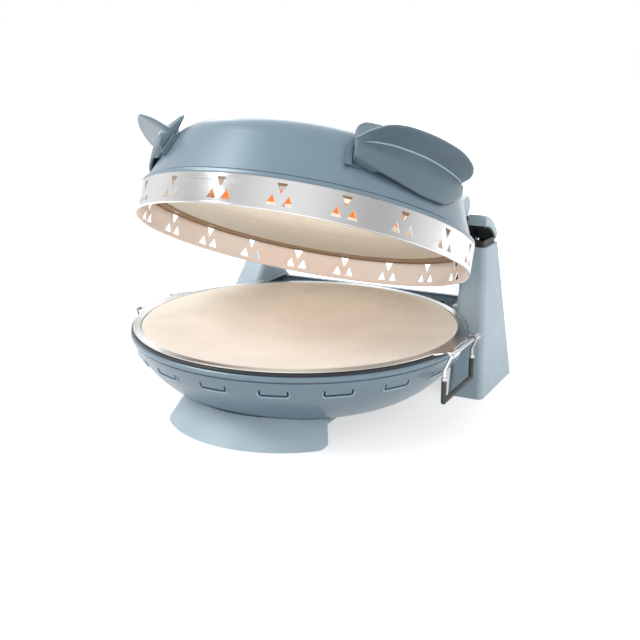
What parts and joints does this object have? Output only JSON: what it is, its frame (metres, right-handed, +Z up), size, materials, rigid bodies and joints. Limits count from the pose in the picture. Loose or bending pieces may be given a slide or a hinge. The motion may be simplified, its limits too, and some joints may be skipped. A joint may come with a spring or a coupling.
{
  "type": "electric pizza maker",
  "caption": "Countertop electric pizza oven: round bowl base with a baking stone and swinging tray bails, domed lid with a vented steel band on a rear hinge stand.",
  "frame": {"origin": "centre of the object's box at floor level, lid at its pictured opening", "axes": "+Z up; +Y towards the hinge stand at the back; +X to the object's own left as seen from behind, the right as seen from the front"},
  "size_m": [0.3508, 0.3792, 0.287],
  "materials": {
    "blue_paint": "satin blue-grey paint",
    "pale_plastic": "fine-grained matt blue-grey moulding",
    "black_plastic": "matt black moulding",
    "black_metal": "satin black heat-proof paint",
    "polished_steel": "polished sheet and wire",
    "plated_steel": "plain plated steel",
    "bright_pan": "bright pressed sheet with a warm cast",
    "brown_metal": "heat-browned pressed steel",
    "heating_tube": "dark oxidised heating tube",
    "glowing_tube": "heating tube at working heat",
    "baking_stone": "dry matt cordierite-like stone",
    "soft_black": "matt dark grey heat-proof sleeve and pads",
    "bearing_metal": "plain turned bush",
    "white_ceramic": "unglazed insulating block",
    "amber_lens": "clear-tinted amber lens",
    "lead_sleeve": "pale woven heat sleeve"
  },
  "bodies": {
    "base": {"base_bowl": "blue_paint", "rim_ring": "black_metal", "base_liner": "bright_pan", "lower_reflector": "bright_pan", "lower_heater": "heating_tube", "lower_heater_clips": "plated_steel", "tray_frame": "polished_steel", "pizza_stone": "baking_stone", "front_foot": "pale_plastic", "front_foot_pads": "soft_black", "foot_screws": "plated_steel", "rear_stand": "pale_plastic", "stand_cover": "black_plastic", "rear_feet": "soft_black", "stand_straps": "plated_steel", "strap_screws": "plated_steel", "hinge_bush_left": "bearing_metal", "hinge_bush_right": "bearing_metal", "hinge_liner_left": "black_plastic", "hinge_liner_right": "black_plastic", "terminal_block": "white_ceramic", "control_body": "black_plastic", "indicator_lens": "amber_lens", "cord_gland": "black_plastic", "base_lead": "lead_sleeve", "cover_screws": "plated_steel"},
    "lid": {"lid_dome": "blue_paint", "lid_ledge": "blue_paint", "lid_band": "polished_steel", "reflector_step": "brown_metal", "upper_reflector": "bright_pan", "upper_heater": "glowing_tube", "upper_heater_clips": "plated_steel", "thermal_cutout": "plated_steel", "handle_left": "pale_plastic", "handle_right": "pale_plastic", "handle_spacers": "pale_plastic", "handle_screws": "plated_steel", "hinge_arm_left": "black_metal", "hinge_arm_right": "black_metal", "arm_cover_left": "pale_plastic", "arm_cover_right": "pale_plastic", "hinge_cap_left": "pale_plastic", "hinge_cap_right": "pale_plastic", "hinge_pin_left": "plated_steel", "hinge_pin_right": "plated_steel", "arm_screws": "plated_steel"},
    "bail_left": {"bail_left": "polished_steel", "bail_grip_left": "soft_black"},
    "bail_right": {"bail_right": "polished_steel", "bail_grip_right": "soft_black"},
    "control_knob": {"control_knob": "black_plastic"}
  },
  "joints": [
    {"name": "lid_hinge", "type": "hinge", "parent": "base", "child": "lid", "pos_m": [0, 0.14085, 0.11], "axis": [-1, 0, 0], "range_deg": [-23.5, 66.5]},
    {"name": "bail_right_swing", "type": "hinge", "parent": "base", "child": "bail_right", "pos_m": [0.1725, -0.02315, 0.0797], "axis": [0, -1, 0], "range_deg": [0, 100]},
    {"name": "bail_left_swing", "type": "hinge", "parent": "base", "child": "bail_left", "pos_m": [-0.1725, -0.02315, 0.0797], "axis": [0, 1, 0], "range_deg": [0, 100]},
    {"name": "knob_turn", "type": "hinge", "parent": "base", "child": "control_knob", "pos_m": [-0.15584, 0.11285, 0.052], "axis": [-0.9796, 0, 0.2008], "range_deg": [-270, 0]}
  ]
}
